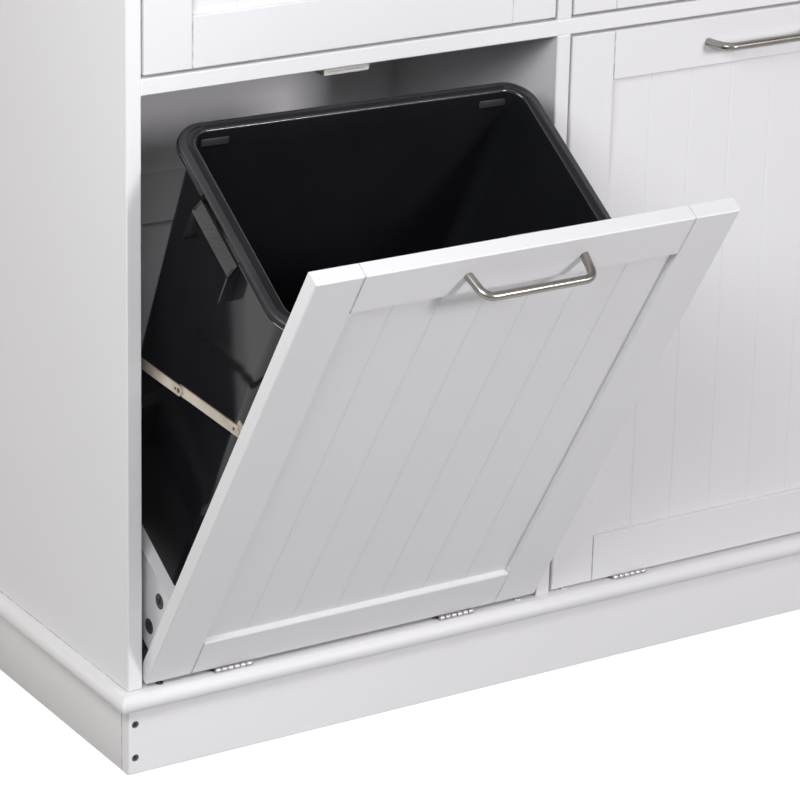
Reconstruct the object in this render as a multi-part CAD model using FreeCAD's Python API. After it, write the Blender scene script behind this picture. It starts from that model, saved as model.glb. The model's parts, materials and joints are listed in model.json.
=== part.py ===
"""Tilt-out bin cabinet: two tilting doors with loose bins below two drawers.

Millimetres. The origin is the centre of the plinth's footprint on the floor, +X is the
cabinet's right, the front faces -Y and +Z is up. The left door stands open, the right one shut.
"""
import FreeCAD
import Part
import math
import os

from FreeCAD import Vector

# Carcass
bay_width = 436.0
bay_height = 565.0
drawer_bay_height = 207.0
panel = 15.0
back_thickness = 4.0
plinth_height = 67.0
plinth_thickness = 12.0
edge_board_thickness = 18.0
edge_overhang = 13.0
edge_corner_radius = 12.0
edge_round_share = 0.49
back_rail_height = 50.0
back_rail_thickness = 6.0
back_rail_rise = 346.0
edge_ease = 1.0

# Assembly screws
screw_head_radius = 3.6
screw_head_depth = 2.5
screw_head_round = 0.6
screw_socket_radius = 1.8
screw_socket_depth = 1.6
screw_sink = 1.0
screw_proud = 1.2
screw_shank_radius = 2.0
screw_length = 40.0
screw_edge_distance = 16.5
base_screw_inset_x = 20.0
base_screw_inset_y = 4.0
screw_clearance = 0.1

# Framed doors and drawer fronts
front_gap = 3.0
front_thickness = 15.0
frame_width = 47.5
infill_recess = 6.0
infill_thickness = 5.0
infill_tongue = 7.0
infill_strips = 7
groove_width = 3.0
groove_depth = 1.6

# Bow handles
handle_span = 118.0
handle_rod_radius = 4.0
handle_reach = 30.0
handle_bend = 11.0
handle_lean = 4.0

# Door hinges
hinge_length = 39.5
hinge_offset = 123.5
hinge_leaf = 1.0
hinge_leaf_depth = 12.0
hinge_barrel_radius = 2.2
hinge_pin_radius = 1.0
hinge_pin_clearance = 0.05
hinge_knuckles = 6
hinge_knuckle_gap = 0.2
hinge_front_clearance = 0.2
open_angle = 31.6

# Magnetic catches and their strike plates
catch_width = 48.0
catch_depth = 17.0
catch_height = 9.0
catch_corner = 2.5
strike_width = 38.0
strike_height = 12.0
strike_thickness = 1.2
seat_clearance = 0.3

# Bin trays behind the doors
tray_side_clearance = 9.0
tray_board = 12.0
tray_height = 75.0
tray_rise = 27.0
tray_bin_gap = 10.0
cam_radius = 7.5
cam_depth = 9.0
cam_from_door = 18.0
cam_heights = (21.0, 59.0)
cam_slot_length = 9.0
cam_slot_width = 1.8
cam_slot_depth = 1.5
cam_clearance = 0.1

# Loose bins
bin_width = 366.0
bin_depth = 244.0
bin_height = 422.0
bin_door_clearance = 13.0
bin_back_clearance = 10.0
bin_offset = -11.0
bin_turn = -1.0
bin_wall = 3.0
bin_rim_overhang = 10.0
bin_rim_skirt = 9.0
bin_rim_skirt_wall = 2.5
bin_corner_radius = 28.0
bin_side_draft = 3.0
bin_end_draft = 5.0
bin_rim_round = 4.0
bin_mouth_ease = 1.2
bin_foot_round = 8.0
grip_length = 78.0
grip_offset = 17.0
grip_drop = 19.0
grip_lip_height = 15.0
grip_lip_wall = 3.0
grip_fin_height = 30.0
grip_fin_lean = 5.0

# Folding stays, one on each side of a door
stay_bar_width = 10.0
stay_bar_thickness = 1.5
stay_layer_gap = 0.3
stay_panel_clearance = 7.0
stay_pin_radius = 2.0
stay_pin_clearance = 0.05
stay_head_radius = 3.4
stay_head_height = 0.9
stay_anchor_depth = 52.0
stay_anchor_height = 313.0
stay_door_pivot_depth = 11.0
stay_door_pivot_height = 339.0
stay_plate_length = 34.0
stay_plate_width = 14.0

# Drawers
drawer_board = 12.0
drawer_box_height = 125.0
drawer_back_clearance = 17.0
drawer_box_rise = 22.0
drawer_bottom_thickness = 4.0
drawer_bottom_rise = 10.0
drawer_bottom_tongue = 5.0
runner_gap = 12.7
runner_height = 20.0
runner_wall = 1.2
runner_rise = 30.0
runner_setback = 6.0

# Places that follow from the sizes above
carcass_width = 2 * bay_width + 3 * panel
bay_depth = front_thickness + bin_door_clearance + bin_depth + bin_back_clearance
left = -carcass_width / 2
right = carcass_width / 2
front = -bay_depth / 2
back = bay_depth / 2
base_bottom = plinth_height
base_top = base_bottom + edge_board_thickness
shelf_bottom = base_top + bay_height
shelf_top = shelf_bottom + panel
top_bottom = shelf_top + drawer_bay_height
top_top = top_bottom + edge_board_thickness
door_back = front + front_thickness
door_bottom = base_top + front_gap
door_top = shelf_bottom - front_gap
hinge_y = front - hinge_barrel_radius - hinge_front_clearance
hinge_z = base_top + hinge_barrel_radius + seat_clearance
tray_bottom = base_top + tray_rise
tray_floor_top = tray_bottom + tray_board
bin_mouth_width = bin_width - 2 * bin_rim_overhang
bin_mouth_depth = bin_depth - 2 * bin_rim_overhang
bin_foot_width = bin_mouth_width - 2 * bin_height * math.tan(math.radians(bin_side_draft))
bin_foot_depth = bin_mouth_depth - 2 * bin_height * math.tan(math.radians(bin_end_draft))
tray_depth = bin_door_clearance + (bin_depth + bin_foot_depth) / 2 + tray_bin_gap + tray_board
drawer_box_depth = bay_depth - front_thickness - drawer_back_clearance
runner_length = drawer_box_depth - runner_setback
tolerance = 1e-4
SIDES = ("left", "right")
X_AXIS = Vector(1, 0, 0)
Y_AXIS = Vector(0, 1, 0)
Z_AXIS = Vector(0, 0, 1)


def bay_left(side):
    """Inner left face of a bay."""
    return left + panel if side == "left" else panel / 2


def bay_centre(side):
    return bay_left(side) + bay_width / 2


def box(x0, x1, y0, y1, z0, z1):
    return Part.makeBox(x1 - x0, y1 - y0, z1 - z0, Vector(x0, y0, z0))


def rod(radius, length, start, direction):
    return Part.makeCylinder(radius, length, start, direction)


def mirrored(solid, x):
    return solid.mirror(Vector(x, 0, 0), X_AXIS)


def edges_on(solid, axis, value):
    """Edges that lie wholly in the plane axis = value."""
    found = []
    for edge in solid.Edges:
        span = edge.BoundBox
        low = (span.XMin, span.YMin, span.ZMin)[axis]
        high = (span.XMax, span.YMax, span.ZMax)[axis]
        if abs(low - value) < tolerance and abs(high - value) < tolerance:
            found.append(edge)
    return found


def eased(solid, y):
    """Takes the sharpness off the edges round a front face."""
    return solid.makeChamfer(edge_ease, edges_on(solid, 1, y))


def save(node, *solids):
    shape = solids[0] if len(solids) == 1 else Part.makeCompound(list(solids))
    shape.exportStep("parts/" + node + ".step")


def opened(side, solid):
    """Turns a piece of the left door from shut to the open rest pose."""
    if side == "left":
        solid = solid.copy()
        solid.rotate(Vector(0, hinge_y, hinge_z), X_AXIS, open_angle)
    return solid


# Carcass

def half_round_board(z0):
    """Board whose front and side edges are half round, with rounded plan corners."""
    x0 = left - edge_overhang
    x1 = right + edge_overhang
    y0 = front - edge_overhang
    y1 = back + back_thickness
    z1 = z0 + edge_board_thickness
    board = box(x0, x1, y0, y1, z0, z1)
    corners = []
    for edge in board.Edges:
        upright = edge.BoundBox.ZLength > edge_board_thickness / 2
        if upright and edge.BoundBox.YMax < front:
            corners.append(edge)
    board = board.makeFillet(edge_corner_radius, corners)
    rims = []
    for edge in edges_on(board, 2, z0) + edges_on(board, 2, z1):
        if edge.BoundBox.YMin < y1 - tolerance:
            rims.append(edge)
    return board.makeFillet(edge_board_thickness * edge_round_share, rims)


def hex_socket(start, direction):
    turn = FreeCAD.Rotation(Z_AXIS, direction)
    corners = []
    for n in range(7):
        angle = n * math.pi / 3
        corner = Vector(math.cos(angle), math.sin(angle), 0) * screw_socket_radius
        corners.append(start + turn.multVec(corner))
    return Part.Face(Part.makePolygon(corners)).extrude(direction * screw_socket_depth)


def screw(surface, direction, sink):
    """Socket screw whose head lies sink below the surface, or stands proud of it, and its hole."""
    start = surface + direction * sink
    head = rod(screw_head_radius, screw_head_depth, start, direction)
    crown = [edge for edge in head.Edges if edge.CenterOfMass.distanceToPoint(start) < tolerance]
    head = head.makeFillet(screw_head_round, crown)
    body = head.fuse(rod(screw_shank_radius, screw_length, start + direction * screw_head_round, direction))
    body = body.cut(hex_socket(start, direction)).removeSplitter()
    wide_depth = sink + screw_head_depth + screw_clearance
    deep_depth = sink + screw_head_round + screw_length + screw_clearance
    wide = rod(screw_head_radius + screw_clearance, wide_depth, surface, direction)
    deep = rod(screw_shank_radius + screw_clearance, deep_depth, surface, direction)
    return body, wide.fuse(deep)


def carcass():
    screws = []
    holes = []
    plinth_screw_x = right - panel / 2
    for x in (-plinth_screw_x, plinth_screw_x):
        for z in (screw_edge_distance, plinth_height - screw_edge_distance):
            body, hole = screw(Vector(x, front, z), Y_AXIS, screw_sink)
            screws.append(body)
            holes.append(hole)
    for side in SIDES:
        inset = base_screw_inset_x
        for x in (bay_left(side) + inset, bay_left(side) + bay_width - inset):
            seat = Vector(x, front + base_screw_inset_y, base_top)
            body, hole = screw(seat, -Z_AXIS, -screw_proud)
            screws.append(body)
            holes.append(hole)
    save("assembly_screws", *screws)

    save("base_board", half_round_board(base_bottom).cut(Part.makeCompound(holes)))
    save("top_board", half_round_board(top_bottom))
    upright = box(left, left + panel, front, back, base_top, top_bottom)
    save("left_side_panel", eased(upright, front))
    save("right_side_panel", eased(mirrored(upright, 0), front))
    shelf = box(left + panel, right - panel, front, back, shelf_bottom, shelf_top)
    save("mid_shelf", eased(shelf, front))
    divider = panel / 2
    save("lower_divider", eased(box(-divider, divider, front, back, base_top, shelf_bottom), front))
    save("upper_divider", eased(box(-divider, divider, front, back, shelf_top, top_bottom), front))
    save("back_panel", box(left, right, back, back + back_thickness, base_top, top_bottom))

    rails = []
    for side in SIDES:
        x0 = bay_left(side)
        z0 = base_top + back_rail_rise
        rails.append(box(x0, x0 + bay_width, back - back_rail_thickness, back, z0, z0 + back_rail_height))
    save("back_rails", *rails)

    inner_front = front + plinth_thickness
    inner_back = back - plinth_thickness
    drill = Part.makeCompound(holes)
    front_board = eased(box(left, right, front, inner_front, 0, plinth_height), front)
    save("front_plinth", front_board.cut(drill))
    save("rear_plinth", box(left, right, inner_back, back, 0, plinth_height))
    end = box(left, left + panel, inner_front, inner_back, 0, plinth_height)
    save("plinth_ends", end.cut(drill), mirrored(end, 0).cut(drill))
    save("plinth_brace", box(-divider, divider, inner_front, inner_back, 0, plinth_height))


# Framed fronts

def framed_front(x0, x1, z0, z1):
    """Stiles, rails and grooved infill of one inset front."""
    inner_x0 = x0 + frame_width
    inner_x1 = x1 - frame_width
    y0 = front + infill_recess
    infill = box(inner_x0 - infill_tongue, inner_x1 + infill_tongue, y0, y0 + infill_thickness,
                 z0 + frame_width - infill_tongue, z1 - frame_width + infill_tongue)
    stiles = []
    for x in (x0, inner_x1):
        stile = eased(box(x, x + frame_width, front, door_back, z0, z1), front)
        stiles.append(stile.cut(infill))
    rails = []
    for z in (z0, z1 - frame_width):
        rail = eased(box(inner_x0, inner_x1, front, door_back, z, z + frame_width), front)
        rails.append(rail.cut(infill))
    pitch = (inner_x1 - inner_x0) / infill_strips
    half = groove_width / 2
    for n in range(1, infill_strips):
        x = inner_x0 + n * pitch
        low = z0 + frame_width - infill_tongue
        corner = Vector(x - half, y0, low)
        tip = Vector(x, y0 + groove_depth, low)
        vee = Part.makePolygon([corner, Vector(x + half, y0, low), tip, corner])
        length = z1 - z0 - 2 * frame_width + 2 * infill_tongue
        infill = infill.cut(Part.Face(vee).extrude(Vector(0, 0, length)))
    return stiles, rails, infill


def bow_handle(x, z):
    """Bent rod on two feet, its legs leaning in towards the grip."""
    foot = handle_span / 2
    reach = handle_reach - handle_rod_radius
    lean = handle_lean
    run = math.hypot(lean, reach)
    turn = math.pi / 2 + math.atan2(lean, reach)
    tangent = handle_bend * math.tan((math.pi - turn) / 2)
    along = Vector(lean / run, -reach / run, 0)
    start = Vector(x - foot, front, z)
    corner = start + along * run
    leg_end = corner - along * tangent
    bar_start = corner + X_AXIS * tangent
    bisector = (X_AXIS - along).normalize()
    centre = corner + bisector * (handle_bend / math.sin(turn / 2))
    middle = centre - bisector * handle_bend
    leg = Part.LineSegment(start, leg_end).toShape()
    bend = Part.Arc(leg_end, middle, bar_start).toShape()
    bar = Part.LineSegment(bar_start, Vector(x, bar_start.y, z)).toShape()
    path = Part.Wire([leg, bend, bar])
    section = Part.Wire(Part.makeCircle(handle_rod_radius, start, along))
    half = path.makePipeShell([section], True, False)
    below = box(x - handle_span, x, front, front + handle_reach, z - handle_reach, z + handle_reach)
    half = half.cut(below)
    return half.fuse(mirrored(half, x)).removeSplitter()


# Hinges, catches and trays

def hinge_places(side):
    centre = bay_centre(side)
    return (centre - hinge_offset, centre + hinge_offset)


def hinge_leaf_solid(x, odd, z0):
    """Leaf plate with every second knuckle of the barrel."""
    start = x - hinge_length / 2
    pitch = hinge_length / hinge_knuckles
    leaf = box(start, start + hinge_length, front, front + hinge_leaf_depth, z0, z0 + hinge_leaf)
    for n in range(odd, hinge_knuckles, 2):
        x0 = start + n * pitch + hinge_knuckle_gap / 2
        x1 = start + (n + 1) * pitch - hinge_knuckle_gap / 2
        barrel = rod(hinge_barrel_radius, x1 - x0, Vector(x0, hinge_y, hinge_z), X_AXIS)
        tongue = box(x0, x1, hinge_y, front, z0, z0 + hinge_leaf)
        leaf = leaf.fuse(barrel).fuse(tongue)
    bore_radius = hinge_pin_radius + hinge_pin_clearance
    bore = rod(bore_radius, hinge_length, Vector(start, hinge_y, hinge_z), X_AXIS)
    return leaf.cut(bore).removeSplitter()


def fixed_hardware():
    leaves = []
    pins = []
    catches = []
    for side in SIDES:
        for x in hinge_places(side):
            leaves.append(hinge_leaf_solid(x, 0, base_top))
            start = Vector(x - hinge_length / 2, hinge_y, hinge_z)
            pins.append(rod(hinge_pin_radius, hinge_length, start, X_AXIS))
        x = bay_centre(side)
        y = door_back + strike_thickness + seat_clearance
        low = shelf_bottom - catch_height
        half = catch_width / 2
        body = box(x - half, x + half, y, y + catch_depth, low, shelf_bottom)
        lower = edges_on(body, 2, low)
        catches.append(body.makeFillet(catch_corner, lower))
    save("hinge_base_leaves", *leaves)
    save("hinge_pins", *pins)
    save("magnetic_catches", *catches)


def door_leaf(side):
    leaves = [hinge_leaf_solid(x, 1, door_bottom - hinge_leaf) for x in hinge_places(side)]
    save(side + "_hinge_leaves", *[opened(side, leaf) for leaf in leaves])


def door(side):
    x0 = bay_left(side) + front_gap
    x1 = bay_left(side) + bay_width - front_gap
    stiles, rails, infill = framed_front(x0, x1, door_bottom, door_top)
    save(side + "_door_stiles", *[opened(side, stile) for stile in stiles])
    save(side + "_door_rails", *[opened(side, rail) for rail in rails])
    save(side + "_door_panel", opened(side, infill))
    x = bay_centre(side)
    save(side + "_door_handle", opened(side, bow_handle(x, door_top - frame_width / 2)))
    top = door_top - edge_ease
    half = strike_width / 2
    outer = door_back + strike_thickness
    strike = box(x - half, x + half, door_back, outer, top - strike_height, top)
    save(side + "_strike_plate", opened(side, strike))


def slotted_cam(seat):
    """Cam fitting that lies flush in the tray side, with a cross slot in its face."""
    cam = rod(cam_radius, cam_depth, seat, X_AXIS)
    for dy, dz in ((cam_slot_length, cam_slot_width), (cam_slot_width, cam_slot_length)):
        cam = cam.cut(box(seat.x, seat.x + cam_slot_depth, seat.y - dy / 2, seat.y + dy / 2,
                          seat.z - dz / 2, seat.z + dz / 2))
    return cam


def tray(side):
    x0 = bay_left(side) + tray_side_clearance
    x1 = x0 + tray_board
    centre = bay_centre(side)
    tray_end = door_back + tray_depth
    board = box(x0, x1, door_back, tray_end, tray_bottom, tray_bottom + tray_height)
    cams = []
    for height in cam_heights:
        seat = Vector(x0, door_back + cam_from_door, tray_bottom + height)
        cams.append(slotted_cam(seat))
        board = board.cut(rod(cam_radius + cam_clearance, cam_depth, seat, X_AXIS))
    cams += [mirrored(cam, centre) for cam in cams]
    sides = [board, mirrored(board, centre)]
    far = 2 * centre - x1
    floor = box(x1, far, door_back, tray_end, tray_bottom, tray_floor_top)
    rear = box(x1, far, tray_end - tray_board, tray_end, tray_floor_top, tray_bottom + tray_height)
    save(side + "_tray_sides", *[opened(side, solid) for solid in sides])
    save(side + "_tray_floor", opened(side, floor))
    save(side + "_tray_back", opened(side, rear))
    save(side + "_tray_cams", *[opened(side, cam) for cam in cams])


# Bins

def rounded_outline(x, y, width, depth, radius, z):
    """Closed wire of a rectangle with round corners, centred at x, y."""
    dx = width / 2 - radius
    dy = depth / 2 - radius
    edges = []
    for quarter, (sx, sy) in enumerate(((1, 1), (-1, 1), (-1, -1), (1, -1))):
        middle = Vector(x + sx * dx, y + sy * dy, z)
        turn = math.pi / 2 * quarter
        points = []
        for step in (0, 1, 2):
            angle = turn + step * math.pi / 4
            points.append(middle + Vector(math.cos(angle), math.sin(angle), 0) * radius)
        edges.append(Part.Arc(*points).toShape())
    joined = []
    for arc, following in zip(edges, edges[1:] + edges[:1]):
        joined.append(arc)
        joined.append(Part.LineSegment(arc.lastVertex().Point, following.firstVertex().Point).toShape())
    return Part.Wire(joined)


def slab(outline, height):
    return Part.Face(outline).extrude(Vector(0, 0, height))


def bin_shell(x, y, z):
    """Drafted bucket with a rolled rim and a grip on each side."""
    top = z + bin_height
    radius = bin_corner_radius

    def ring(wall, z0):
        rise = (z0 - z) / bin_height
        ring_width = bin_foot_width + (bin_mouth_width - bin_foot_width) * rise - 2 * wall
        ring_depth = bin_foot_depth + (bin_mouth_depth - bin_foot_depth) * rise - 2 * wall
        return rounded_outline(x, y, ring_width, ring_depth, radius - wall, z0)

    def bucket(wall, z0):
        solid = Part.makeLoft([ring(wall, z0), ring(wall, top)], True, True)
        return solid.makeFillet(bin_foot_round - wall, edges_on(solid, 2, z0))

    eased_wall = bin_wall - bin_mouth_ease
    mouth = Part.makeLoft([ring(bin_wall, top - bin_mouth_ease), ring(eased_wall, top)], True, True)
    inner = bucket(bin_wall, z + bin_wall).fuse(mouth)
    rim_radius = radius + bin_rim_overhang
    skirt_bottom = top - bin_rim_skirt
    rim = slab(rounded_outline(x, y, bin_width, bin_depth, rim_radius, skirt_bottom), bin_rim_skirt)
    rim = rim.makeFillet(bin_rim_round, edges_on(rim, 2, top))
    lip = bin_rim_skirt_wall
    under = rounded_outline(x, y, bin_width - 2 * lip, bin_depth - 2 * lip, rim_radius - lip, skirt_bottom)
    hollow = slab(under, bin_rim_skirt - bin_wall)
    shell = bucket(0, z).fuse(rim.cut(hollow)).fuse(grips(x, y, top)).cut(inner)
    return shell.removeSplitter()


def grips(x, y, top):
    """Flared finger lip between two fins on each side, reaching in to the drafted wall."""
    half = bin_width / 2
    wall_slope = math.tan(math.radians(bin_side_draft))
    lip_top = top - grip_drop
    lip_low = lip_top - grip_lip_height
    fin_low = lip_low - grip_fin_height
    rim_gap = half - bin_rim_overhang - bin_wall / 2
    start = y + grip_offset - grip_length / 2

    def wall_at(z):
        return rim_gap - (top - z) * wall_slope

    def prism(points, y0, length):
        corners = [Vector(x + px, y0, pz) for px, pz in points]
        return Part.Face(Part.makePolygon(corners + corners[:1])).extrude(Vector(0, length, 0))

    lip = prism([(wall_at(lip_top), lip_top), (half, lip_low), (half - grip_lip_wall, lip_low),
                 (wall_at(lip_top - grip_lip_wall), lip_top - grip_lip_wall)], start, grip_length)
    fin_foot = (half - grip_fin_lean, fin_low)
    fin_outline = [(wall_at(lip_top), lip_top), (half, lip_low), fin_foot, (wall_at(fin_low), fin_low)]
    solid = lip
    for y0 in (start, start + grip_length - grip_lip_wall):
        solid = solid.fuse(prism(fin_outline, y0, grip_lip_wall))
    return Part.makeCompound([solid, mirrored(solid, x)])


def bin_place(side):
    return bay_centre(side) + bin_offset, door_back + bin_door_clearance + bin_depth / 2


def loose_bin(side):
    x, y = bin_place(side)
    shell = bin_shell(x, y, tray_floor_top)
    shell.rotate(Vector(x, y, 0), Z_AXIS, bin_turn)
    save(side + "_bin", opened(side, shell))


# Folding stays

def turned(point, degrees):
    """A point in the Y-Z plane turned about the door hinge."""
    angle = math.radians(degrees)
    dy = point[0] - hinge_y
    dz = point[1] - hinge_z
    y = hinge_y + dy * math.cos(angle) - dz * math.sin(angle)
    z = hinge_z + dy * math.sin(angle) + dz * math.cos(angle)
    return y, z


def stay_points(angle):
    """Anchor, elbow and door pivot of the stay with the door at an angle; straight when fully open."""
    anchor = (front + stay_anchor_depth, base_top + stay_anchor_height)
    shut = (door_back + stay_door_pivot_depth, base_top + stay_door_pivot_height)
    far = turned(shut, open_angle)
    arm = math.dist(anchor, far) / 2
    pivot = turned(shut, angle)
    span = math.dist(anchor, pivot)
    rise = math.sqrt(max(arm * arm - span * span / 4, 0.0))
    along = ((pivot[0] - anchor[0]) / span, (pivot[1] - anchor[1]) / span)
    elbow = ((anchor[0] + pivot[0]) / 2 + along[1] * rise, (anchor[1] + pivot[1]) / 2 - along[0] * rise)
    return anchor, elbow, pivot


def stay_bar(x, start, end):
    """Flat round-ended bar with a pin hole at its start."""
    length = math.dist(start, end)
    half = stay_bar_width / 2
    tip = Vector(x, length, 0)
    base = Vector(x, 0, 0)
    up = Vector(0, 0, half)
    outline = Part.Wire([
        Part.LineSegment(base - up, tip - up).toShape(),
        Part.Arc(tip - up, tip + Y_AXIS * half, tip + up).toShape(),
        Part.LineSegment(tip + up, base + up).toShape(),
        Part.Arc(base + up, base - Y_AXIS * half, base - up).toShape(),
    ])
    bar = Part.Face(outline).extrude(Vector(stay_bar_thickness, 0, 0))
    bar = bar.cut(rod(stay_pin_radius + stay_pin_clearance, stay_bar_thickness, base, X_AXIS))
    angle = math.degrees(math.atan2(end[1] - start[1], end[0] - start[0]))
    bar.rotate(Vector(0, 0, 0), X_AXIS, angle)
    bar.translate(Vector(0, start[0], start[1]))
    return bar


def stay_layers(side):
    """Left faces of the wall plate, the rear bar, the front bar and the door plate."""
    step = stay_bar_thickness + stay_layer_gap
    first = bay_left(side) + stay_panel_clearance
    return [first + n * step for n in range(4)]


def domed_head(x, point, away):
    """Rivet head standing on a bar's face at x, towards away (+1 or -1)."""
    return rod(stay_head_radius, stay_head_height, Vector(x, point[0], point[1]), X_AXIS * away)


def pivot_pin(x, point, away):
    """Pin through one bar, with a head beyond it."""
    length = stay_bar_thickness + 2 * stay_layer_gap
    pin = rod(stay_pin_radius, length, Vector(x, point[0], point[1]), X_AXIS * away)
    return pin.fuse(domed_head(x + away * length, point, away)).removeSplitter()


def both_sides(side, solid):
    return [solid, mirrored(solid, bay_centre(side))]


def stay(side):
    plate_x, rear_x, front_x, door_x = stay_layers(side)
    anchor, elbow, pivot = stay_points(open_angle if side == "left" else 0.0)
    shut = stay_points(0.0)[2]
    t = stay_bar_thickness
    half = stay_plate_width / 2
    length = stay_plate_length

    wall = bay_left(side)
    y0 = anchor[0] - half
    y1 = anchor[0] + half
    bend = anchor[1] - half
    foot = box(wall, wall + t, y0, y1, anchor[1] - length, bend)
    arm = box(wall, plate_x + t, y0, y1, bend - t, bend)
    flag = box(plate_x, plate_x + t, y0, y1, bend, anchor[1] + half)
    wall_plate = foot.fuse(arm).fuse(flag).fuse(pivot_pin(plate_x + t, anchor, 1)).removeSplitter()

    rear = stay_bar(rear_x, anchor, elbow)
    fore = stay_bar(front_x, pivot, elbow)
    fore = fore.fuse(domed_head(front_x + t, elbow, 1)).removeSplitter()

    seat = box(door_x, door_x + length, door_back, door_back + t, shut[1] - half, shut[1] + half)
    ear = box(door_x, door_x + t, door_back, shut[0] + half, shut[1] - half, shut[1] + half)
    door_plate = seat.fuse(ear).fuse(pivot_pin(door_x, shut, -1)).removeSplitter()
    save(side + "_stay_rear_arms", *both_sides(side, rear))
    save(side + "_stay_front_arms", *both_sides(side, fore))
    save(side + "_stay_door_plates", *[opened(side, plate) for plate in both_sides(side, door_plate)])
    return both_sides(side, wall_plate)


# Drawers

def channel(x, y0, z0, depth, height, towards):
    """Steel channel along Y whose web stands at x and whose flanges point towards +1 or -1."""
    reach = towards * depth
    body = box(min(x, x + reach), max(x, x + reach), y0, y0 + runner_length, z0, z0 + height)
    web = x + towards * runner_wall
    far = x + reach
    low = z0 + runner_wall
    high = z0 + height - runner_wall
    hollow = box(min(web, far), max(web, far), y0, y0 + runner_length, low, high)
    return body.cut(hollow)


def drawer(side):
    x0 = bay_left(side)
    x1 = x0 + bay_width
    z0 = shelf_top + front_gap
    z1 = top_bottom - front_gap
    stiles, rails, infill = framed_front(x0 + front_gap, x1 - front_gap, z0, z1)
    save(side + "_drawer_front_frame", *(stiles + rails))
    save(side + "_drawer_front_panel", infill)
    centre = bay_centre(side)
    save(side + "_drawer_handle", bow_handle(centre, z1 - frame_width / 2))

    low = shelf_top + drawer_box_rise
    high = low + drawer_box_height
    side_x = x0 + runner_gap
    far = door_back + drawer_box_depth
    wall = box(side_x, side_x + drawer_board, door_back, far, low, high)
    inner = side_x + drawer_board
    rear = box(inner, 2 * centre - inner, far - drawer_board, far, low, high)
    tongue = drawer_bottom_tongue
    floor_z = low + drawer_bottom_rise
    floor = box(inner - tongue, 2 * centre - inner + tongue, door_back, far - drawer_board + tongue,
                floor_z, floor_z + drawer_bottom_thickness)
    save(side + "_drawer_box", wall.cut(floor), mirrored(wall, centre).cut(floor), rear.cut(floor))
    save(side + "_drawer_bottom", floor)

    y0 = door_back + runner_setback
    rail_z = shelf_top + runner_rise
    rail = channel(x0, y0, rail_z, runner_gap - runner_wall - seat_clearance, runner_height, 1)
    inset = runner_wall + seat_clearance
    slide = channel(side_x, y0, rail_z + inset, runner_gap - inset, runner_height - 2 * inset, -1)
    save(side + "_drawer_runners", *both_sides(side, slide))
    return both_sides(side, rail)


def main():
    os.makedirs("parts", exist_ok=True)
    carcass()
    fixed_hardware()
    wall_plates = []
    drawer_rails = []
    for side in SIDES:
        door(side)
        door_leaf(side)
        tray(side)
        loose_bin(side)
        wall_plates += stay(side)
        drawer_rails += drawer(side)
    save("stay_wall_plates", *wall_plates)
    save("drawer_rails", *drawer_rails)


main()
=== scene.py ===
"""Looks of the tilt-out bin cabinet: painted boards, moulded bins, metal fittings, studio and camera."""

import bmesh
import bpy
import json
import math

from mathutils import Matrix, Vector


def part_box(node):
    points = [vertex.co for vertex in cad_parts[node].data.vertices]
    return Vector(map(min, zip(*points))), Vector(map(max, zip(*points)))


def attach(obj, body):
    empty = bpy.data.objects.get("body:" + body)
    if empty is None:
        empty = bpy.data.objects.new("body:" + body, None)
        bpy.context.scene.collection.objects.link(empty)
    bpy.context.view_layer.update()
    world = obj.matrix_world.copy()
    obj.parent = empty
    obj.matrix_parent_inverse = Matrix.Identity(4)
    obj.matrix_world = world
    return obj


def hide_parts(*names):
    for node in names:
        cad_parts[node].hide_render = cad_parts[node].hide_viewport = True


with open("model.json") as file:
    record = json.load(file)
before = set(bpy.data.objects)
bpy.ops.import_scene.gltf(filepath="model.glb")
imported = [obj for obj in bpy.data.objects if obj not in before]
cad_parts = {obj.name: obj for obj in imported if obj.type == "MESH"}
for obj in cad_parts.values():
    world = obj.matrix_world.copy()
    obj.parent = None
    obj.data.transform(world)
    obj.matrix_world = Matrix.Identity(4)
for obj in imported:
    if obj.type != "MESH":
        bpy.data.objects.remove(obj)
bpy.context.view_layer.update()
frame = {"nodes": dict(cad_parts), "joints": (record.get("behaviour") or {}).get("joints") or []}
nodes = frame["nodes"]
joints = {joint["name"]: joint for joint in frame["joints"]}
SIDES = ("left", "right")
mm = 0.001
tiny = 1e-6
STILL = Matrix.Identity(4)

# Sizes in metres, nearly all shared with the solids
open_angle = math.radians(31.6)
hinge_axis = Vector(joints["left_door_tilt"]["pos_m"])
edge_board_round = 8.6 * mm
bin_size = Vector((366.0, 244.0, 422.0)) * mm
bin_overhang = 10.0 * mm
bin_wall = 3.0 * mm
bin_skirt = 9.0 * mm
bin_corner = 20.0 * mm
rim_spread = 2.6 * mm
bin_side_slope = math.tan(math.radians(3.0))
bin_back_slope = math.tan(math.radians(5.0))
bin_front_slope = math.tan(math.radians(4.0))
bin_turn = math.radians(-1.0)
bin_offset = -11.0 * mm
grip_middle = 14.5 * mm
grip_length = 78.0 * mm
skirt_gap_middle = 4.5 * mm
skirt_gap_length = 80.0 * mm
bay_middle = {"left": -225.5 * mm, "right": 225.5 * mm}
bin_middle_y = 9.0 * mm
tray_floor_top = 124.0 * mm
front = -141.0 * mm
door_handle_z = 623.25 * mm
drawer_handle_z = 845.25 * mm
base_top = 85.0 * mm
door_bottom = 88.0 * mm
hinge_length = 39.5 * mm
hinge_offset = 123.5 * mm
hinge_leaf = 1.0 * mm
hinge_knuckles = 6
panel_strips = 7
stay_elbow = {"left": Vector((0.0, -192.27, 393.5)) * mm, "right": Vector((0.0, -30.1, 482.9)) * mm}
# Outer face of each arm from the bay's middle, then its rivets: distance from the elbow and radius
STAY_RIVETS = {"rear": (209.2 * mm, ((0.0, 2.4 * mm), (6.0 * mm, 1.5 * mm))),
               "front": (207.4 * mm, ((95.5 * mm, 1.8 * mm),))}
rivet_height = 0.7 * mm
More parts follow.
